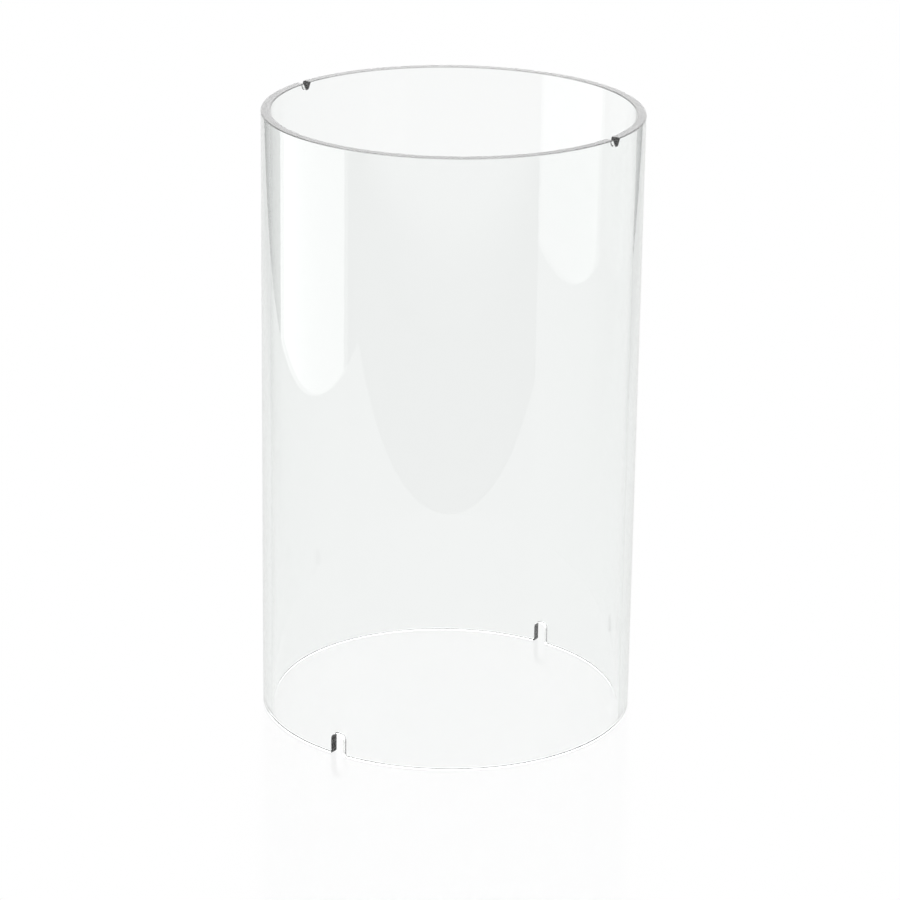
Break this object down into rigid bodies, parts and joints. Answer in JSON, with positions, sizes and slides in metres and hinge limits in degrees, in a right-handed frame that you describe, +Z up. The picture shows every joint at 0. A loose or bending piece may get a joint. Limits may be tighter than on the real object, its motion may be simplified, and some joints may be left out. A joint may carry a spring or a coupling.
{
  "type": "glass cylinder",
  "caption": "Straight clear glass cylinder, open at both ends, with narrow slots through its lower rim and small round notches through its upper rim.",
  "frame": {"origin": "centre of the lower rim, in the plane that the cylinder stands on", "axes": "+Z up the cylinder's axis, +Y through a slot in the lower rim, +X through a notch in the upper rim"},
  "size_m": [0.1, 0.1, 0.165],
  "materials": {
    "clear_glass": "clear, fire-polished edges"
  },
  "bodies": {
    "root": {"glass_cylinder": "clear_glass"}
  },
  "joints": []
}
